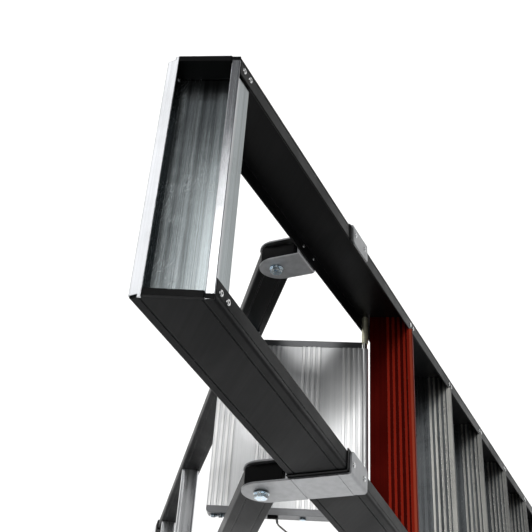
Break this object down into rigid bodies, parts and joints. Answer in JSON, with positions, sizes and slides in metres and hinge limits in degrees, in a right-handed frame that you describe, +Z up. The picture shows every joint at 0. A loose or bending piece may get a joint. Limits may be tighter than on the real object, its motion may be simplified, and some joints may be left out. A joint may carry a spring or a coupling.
{
  "type": "platform step ladder",
  "caption": "Single-sided step ladder with a leaning front frame, a red top tread, a folding ribbed platform, a tool tray on the guard rail and a hinged rear frame",
  "frame": {"origin": "on the floor, in the middle of the footprint of the open ladder, half way between its two sides", "axes": "+X across the ladder to the right of a person who faces the treads, +Y from the climbing side to the rear, +Z up"},
  "size_m": [0.6762, 1.3412, 2.2925],
  "materials": {
    "black_frame": "fine matt black coating on extruded aluminium",
    "polished_aluminium": "bright mill finish with fine drawing lines",
    "ribbed_aluminium": "bright ribbed extrusion",
    "bracket_aluminium": "satin pressed plate",
    "red_tread": "satin red coating",
    "rivet_aluminium": "plain rivets",
    "zinc_steel": "bright zinc plating",
    "axle_steel": "plain turned steel",
    "black_plastic": "moulded black plastic",
    "grey_bush": "hard grey plastic",
    "foot_rubber": "black rubber",
    "cord_fibre": "thin braided cord"
  },
  "bodies": {
    "front_frame": {"axle_spacer_left": "axle_steel", "axle_spacer_right": "axle_steel", "bracket_inner_left": "bracket_aluminium", "bracket_inner_right": "bracket_aluminium", "bracket_liner_left": "black_plastic", "bracket_liner_right": "black_plastic", "bracket_outer_left": "bracket_aluminium", "bracket_outer_right": "bracket_aluminium", "bracket_rivets": "rivet_aluminium", "cord_anchor": "black_plastic", "front_foot_left": "foot_rubber", "front_foot_right": "foot_rubber", "pivot_bolt_left": "zinc_steel", "pivot_bolt_right": "zinc_steel", "pivot_nuts": "zinc_steel", "pivot_washers": "zinc_steel", "platform_axle": "axle_steel", "platform_cord": "cord_fibre", "stile_left": "black_frame", "stile_right": "black_frame", "tool_tray": "polished_aluminium", "top_tread": "red_tread", "top_tread_screws": "zinc_steel", "tray_end_left": "black_plastic", "tray_end_right": "black_plastic", "tray_rivets": "rivet_aluminium", "tread_2": "polished_aluminium", "tread_3": "polished_aluminium", "tread_4": "polished_aluminium", "tread_5": "polished_aluminium", "tread_6": "polished_aluminium", "tread_rivets": "rivet_aluminium"},
    "rear_frame": {"brace_screws": "zinc_steel", "cross_brace_lower": "ribbed_aluminium", "cross_brace_upper": "ribbed_aluminium", "leg_plug_left": "black_plastic", "leg_plug_right": "black_plastic", "leg_rest_left": "zinc_steel", "leg_rest_right": "zinc_steel", "leg_rest_rivets": "rivet_aluminium", "pivot_sleeve_left": "grey_bush", "pivot_sleeve_right": "grey_bush", "rear_foot_left": "foot_rubber", "rear_foot_right": "foot_rubber", "rear_leg_left": "black_frame", "rear_leg_right": "black_frame"},
    "platform": {"cord_clip": "black_plastic", "platform_plank_1": "ribbed_aluminium", "platform_plank_2": "ribbed_aluminium", "platform_plank_3": "ribbed_aluminium", "platform_plank_4": "ribbed_aluminium", "platform_rail_left": "ribbed_aluminium", "platform_rail_right": "ribbed_aluminium", "rail_screws": "zinc_steel", "rest_pin_left": "zinc_steel", "rest_pin_right": "zinc_steel"}
  },
  "joints": [
    {"name": "rear_frame_fold", "type": "hinge", "parent": "front_frame", "child": "rear_frame", "pos_m": [0, 0.17361, 1.83992], "axis": [-1, 0, 0], "range_deg": [0, 34.8]},
    {"name": "platform_lift", "type": "hinge", "parent": "front_frame", "child": "platform", "pos_m": [0, 0.02342, 1.6145], "axis": [1, 0, 0], "range_deg": [0, 69.3]}
  ]
}
